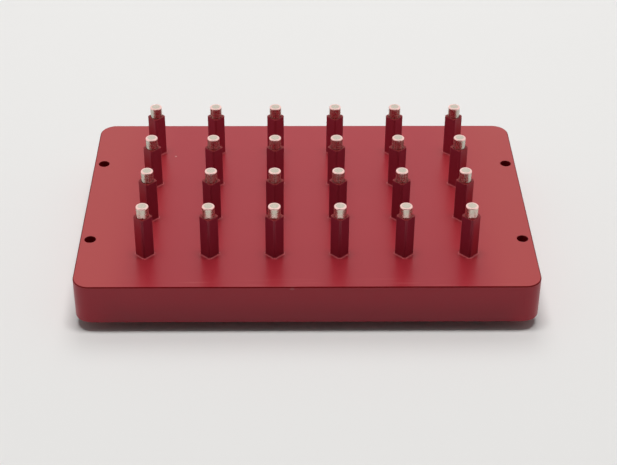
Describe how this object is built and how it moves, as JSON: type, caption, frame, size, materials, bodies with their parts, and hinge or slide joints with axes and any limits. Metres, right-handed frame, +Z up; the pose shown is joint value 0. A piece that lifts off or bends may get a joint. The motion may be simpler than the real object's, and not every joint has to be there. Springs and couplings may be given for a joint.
{
  "type": "magnetic separation rack",
  "caption": "Flat rectangular block with a grid of upright square posts, each holding a round magnet, standing on rubber feet.",
  "frame": {"origin": "middle of the footprint on the surface that the feet stand on", "axes": "+X along the plate's length, +Y from its front to its back, +Z up along the posts"},
  "size_m": [0.1278, 0.0854, 0.0309],
  "materials": {
    "anodised_red": "bead-blasted and red anodised, satin",
    "nickel_plate": "nickel-plated, bright",
    "black_rubber": "matt black rubber"
  },
  "bodies": {
    "root": {"rack_block": "anodised_red", "magnet_row1_col1": "nickel_plate", "magnet_row1_col2": "nickel_plate", "magnet_row1_col3": "nickel_plate", "magnet_row1_col4": "nickel_plate", "magnet_row1_col5": "nickel_plate", "magnet_row1_col6": "nickel_plate", "magnet_row2_col1": "nickel_plate", "magnet_row2_col2": "nickel_plate", "magnet_row2_col3": "nickel_plate", "magnet_row2_col4": "nickel_plate", "magnet_row2_col5": "nickel_plate", "magnet_row2_col6": "nickel_plate", "magnet_row3_col1": "nickel_plate", "magnet_row3_col2": "nickel_plate", "magnet_row3_col3": "nickel_plate", "magnet_row3_col4": "nickel_plate", "magnet_row3_col5": "nickel_plate", "magnet_row3_col6": "nickel_plate", "magnet_row4_col1": "nickel_plate", "magnet_row4_col2": "nickel_plate", "magnet_row4_col3": "nickel_plate", "magnet_row4_col4": "nickel_plate", "magnet_row4_col5": "nickel_plate", "magnet_row4_col6": "nickel_plate", "foot_front_left": "black_rubber", "foot_front_right": "black_rubber", "foot_back_left": "black_rubber", "foot_back_right": "black_rubber"}
  },
  "joints": []
}
